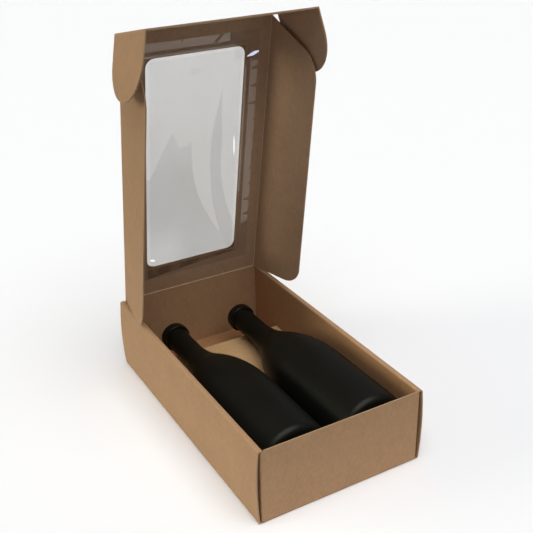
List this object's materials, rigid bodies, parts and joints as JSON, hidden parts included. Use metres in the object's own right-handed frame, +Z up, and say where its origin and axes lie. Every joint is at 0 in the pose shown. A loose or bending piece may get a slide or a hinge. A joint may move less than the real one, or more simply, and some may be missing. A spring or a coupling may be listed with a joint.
{
  "type": "bottle shipping box",
  "caption": "Folded kraft board box with a hinged window lid, tuck flap and ears, a folded neck support and wine-style bottles lying side by side in the tray.",
  "frame": {"origin": "middle of the tray's underside", "axes": "+Z up, +X across the box to the right seen from the front, the front wall faces -Y and the lid's hinge is at +Y"},
  "size_m": [0.2271, 0.3501, 0.4537],
  "materials": {
    "kraft_board": "plain brown kraft liner, matt",
    "clear_film": "thin clear film",
    "dark_glass": "frosted, nearly black"
  },
  "bodies": {
    "tray": {"tray": "kraft_board", "neck_support": "kraft_board", "bottle_left": "dark_glass", "bottle_right": "dark_glass"},
    "lid": {"lid_panel": "kraft_board", "window_film": "clear_film"},
    "side_flap_left": {"side_flap_left": "kraft_board"},
    "side_flap_right": {"side_flap_right": "kraft_board"},
    "tuck_flap": {"tuck_flap": "kraft_board"},
    "ear_left": {"ear_left": "kraft_board"},
    "ear_right": {"ear_right": "kraft_board"}
  },
  "joints": [
    {"name": "lid_hinge", "type": "hinge", "parent": "tray", "child": "lid", "pos_m": [0, 0.17425, 0.0913], "axis": [-1, 0, 0], "range_deg": [0, 100]},
    {"name": "side_flap_left_hinge", "type": "hinge", "parent": "lid", "child": "side_flap_left", "pos_m": [-0.09215, 0.17425, 0.0913], "axis": [0, 0.1736, -0.9848], "range_deg": [-13, 2]},
    {"name": "side_flap_right_hinge", "type": "hinge", "parent": "lid", "child": "side_flap_right", "pos_m": [0.09215, 0.17425, 0.0913], "axis": [0, -0.1736, 0.9848], "range_deg": [-17, 0]},
    {"name": "tuck_hinge", "type": "hinge", "parent": "lid", "child": "tuck_flap", "pos_m": [0, 0.11399, 0.43303], "axis": [-1, 0, 0], "range_deg": [-10, 67]},
    {"name": "ear_left_hinge", "type": "hinge", "parent": "tuck_flap", "child": "ear_left", "pos_m": [-0.09765, 0.11399, 0.43303], "axis": [0, 0.9751, -0.2215], "range_deg": [-7, 80]},
    {"name": "ear_right_hinge", "type": "hinge", "parent": "tuck_flap", "child": "ear_right", "pos_m": [0.09765, 0.11399, 0.43303], "axis": [0, -0.9751, 0.2215], "range_deg": [-2, 80]}
  ]
}
